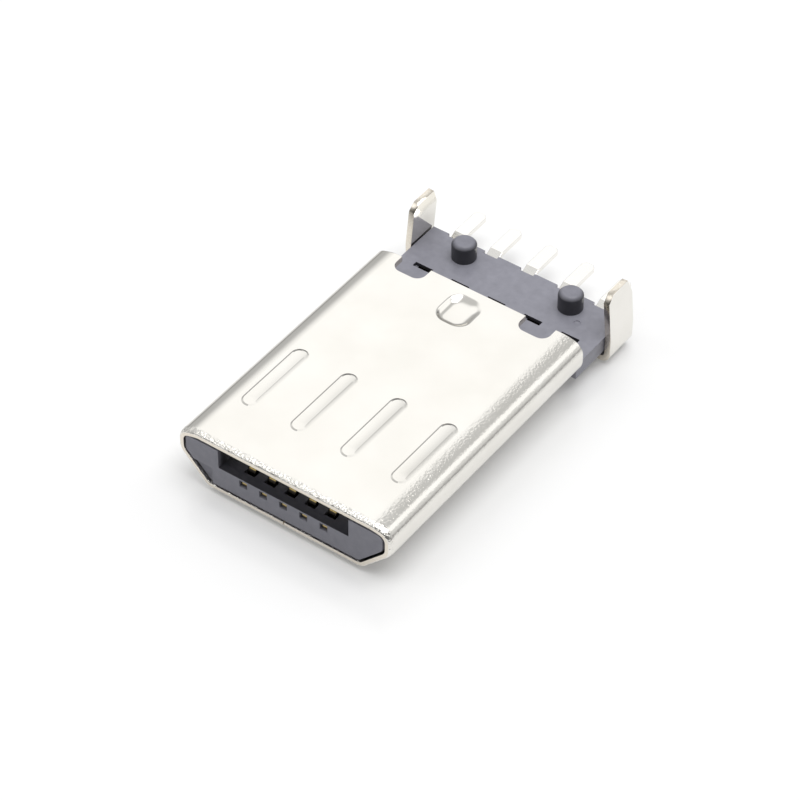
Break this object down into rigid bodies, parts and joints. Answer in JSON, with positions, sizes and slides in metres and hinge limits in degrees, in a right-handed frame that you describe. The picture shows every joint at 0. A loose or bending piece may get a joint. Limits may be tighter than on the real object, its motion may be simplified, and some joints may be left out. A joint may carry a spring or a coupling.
{
  "type": "micro usb plug",
  "caption": "Board-mount plug: a folded plated-steel shell round a black moulded insulator, with spring contacts, latch springs, a rear board flange, locating posts and turned-up lugs.",
  "frame": {"origin": "middle of the part in plan, at the lowest point of the latch hooks", "axes": "+Y from the mouth to the solder tails, +Z from the narrow wall to the wide wall and out of the board seat, +X to the right as seen from the mouth with the wide wall up"},
  "size_m": [0.0068, 0.0124, 0.0024],
  "materials": {
    "nickel_plated_steel": "bright nickel plate over cold-rolled sheet",
    "black_moulding": "fine moulded texture",
    "gold_plated_strip": "thin gold plate at the bumps, tinned at the tails",
    "spring_steel": "bright rolled spring steel"
  },
  "bodies": {
    "root": {"shell": "nickel_plated_steel", "insulator": "black_moulding", "contact_1": "gold_plated_strip", "contact_2": "gold_plated_strip", "contact_3": "gold_plated_strip", "contact_4": "gold_plated_strip", "contact_5": "gold_plated_strip", "latch_spring_left": "spring_steel", "latch_spring_right": "spring_steel"}
  },
  "joints": []
}
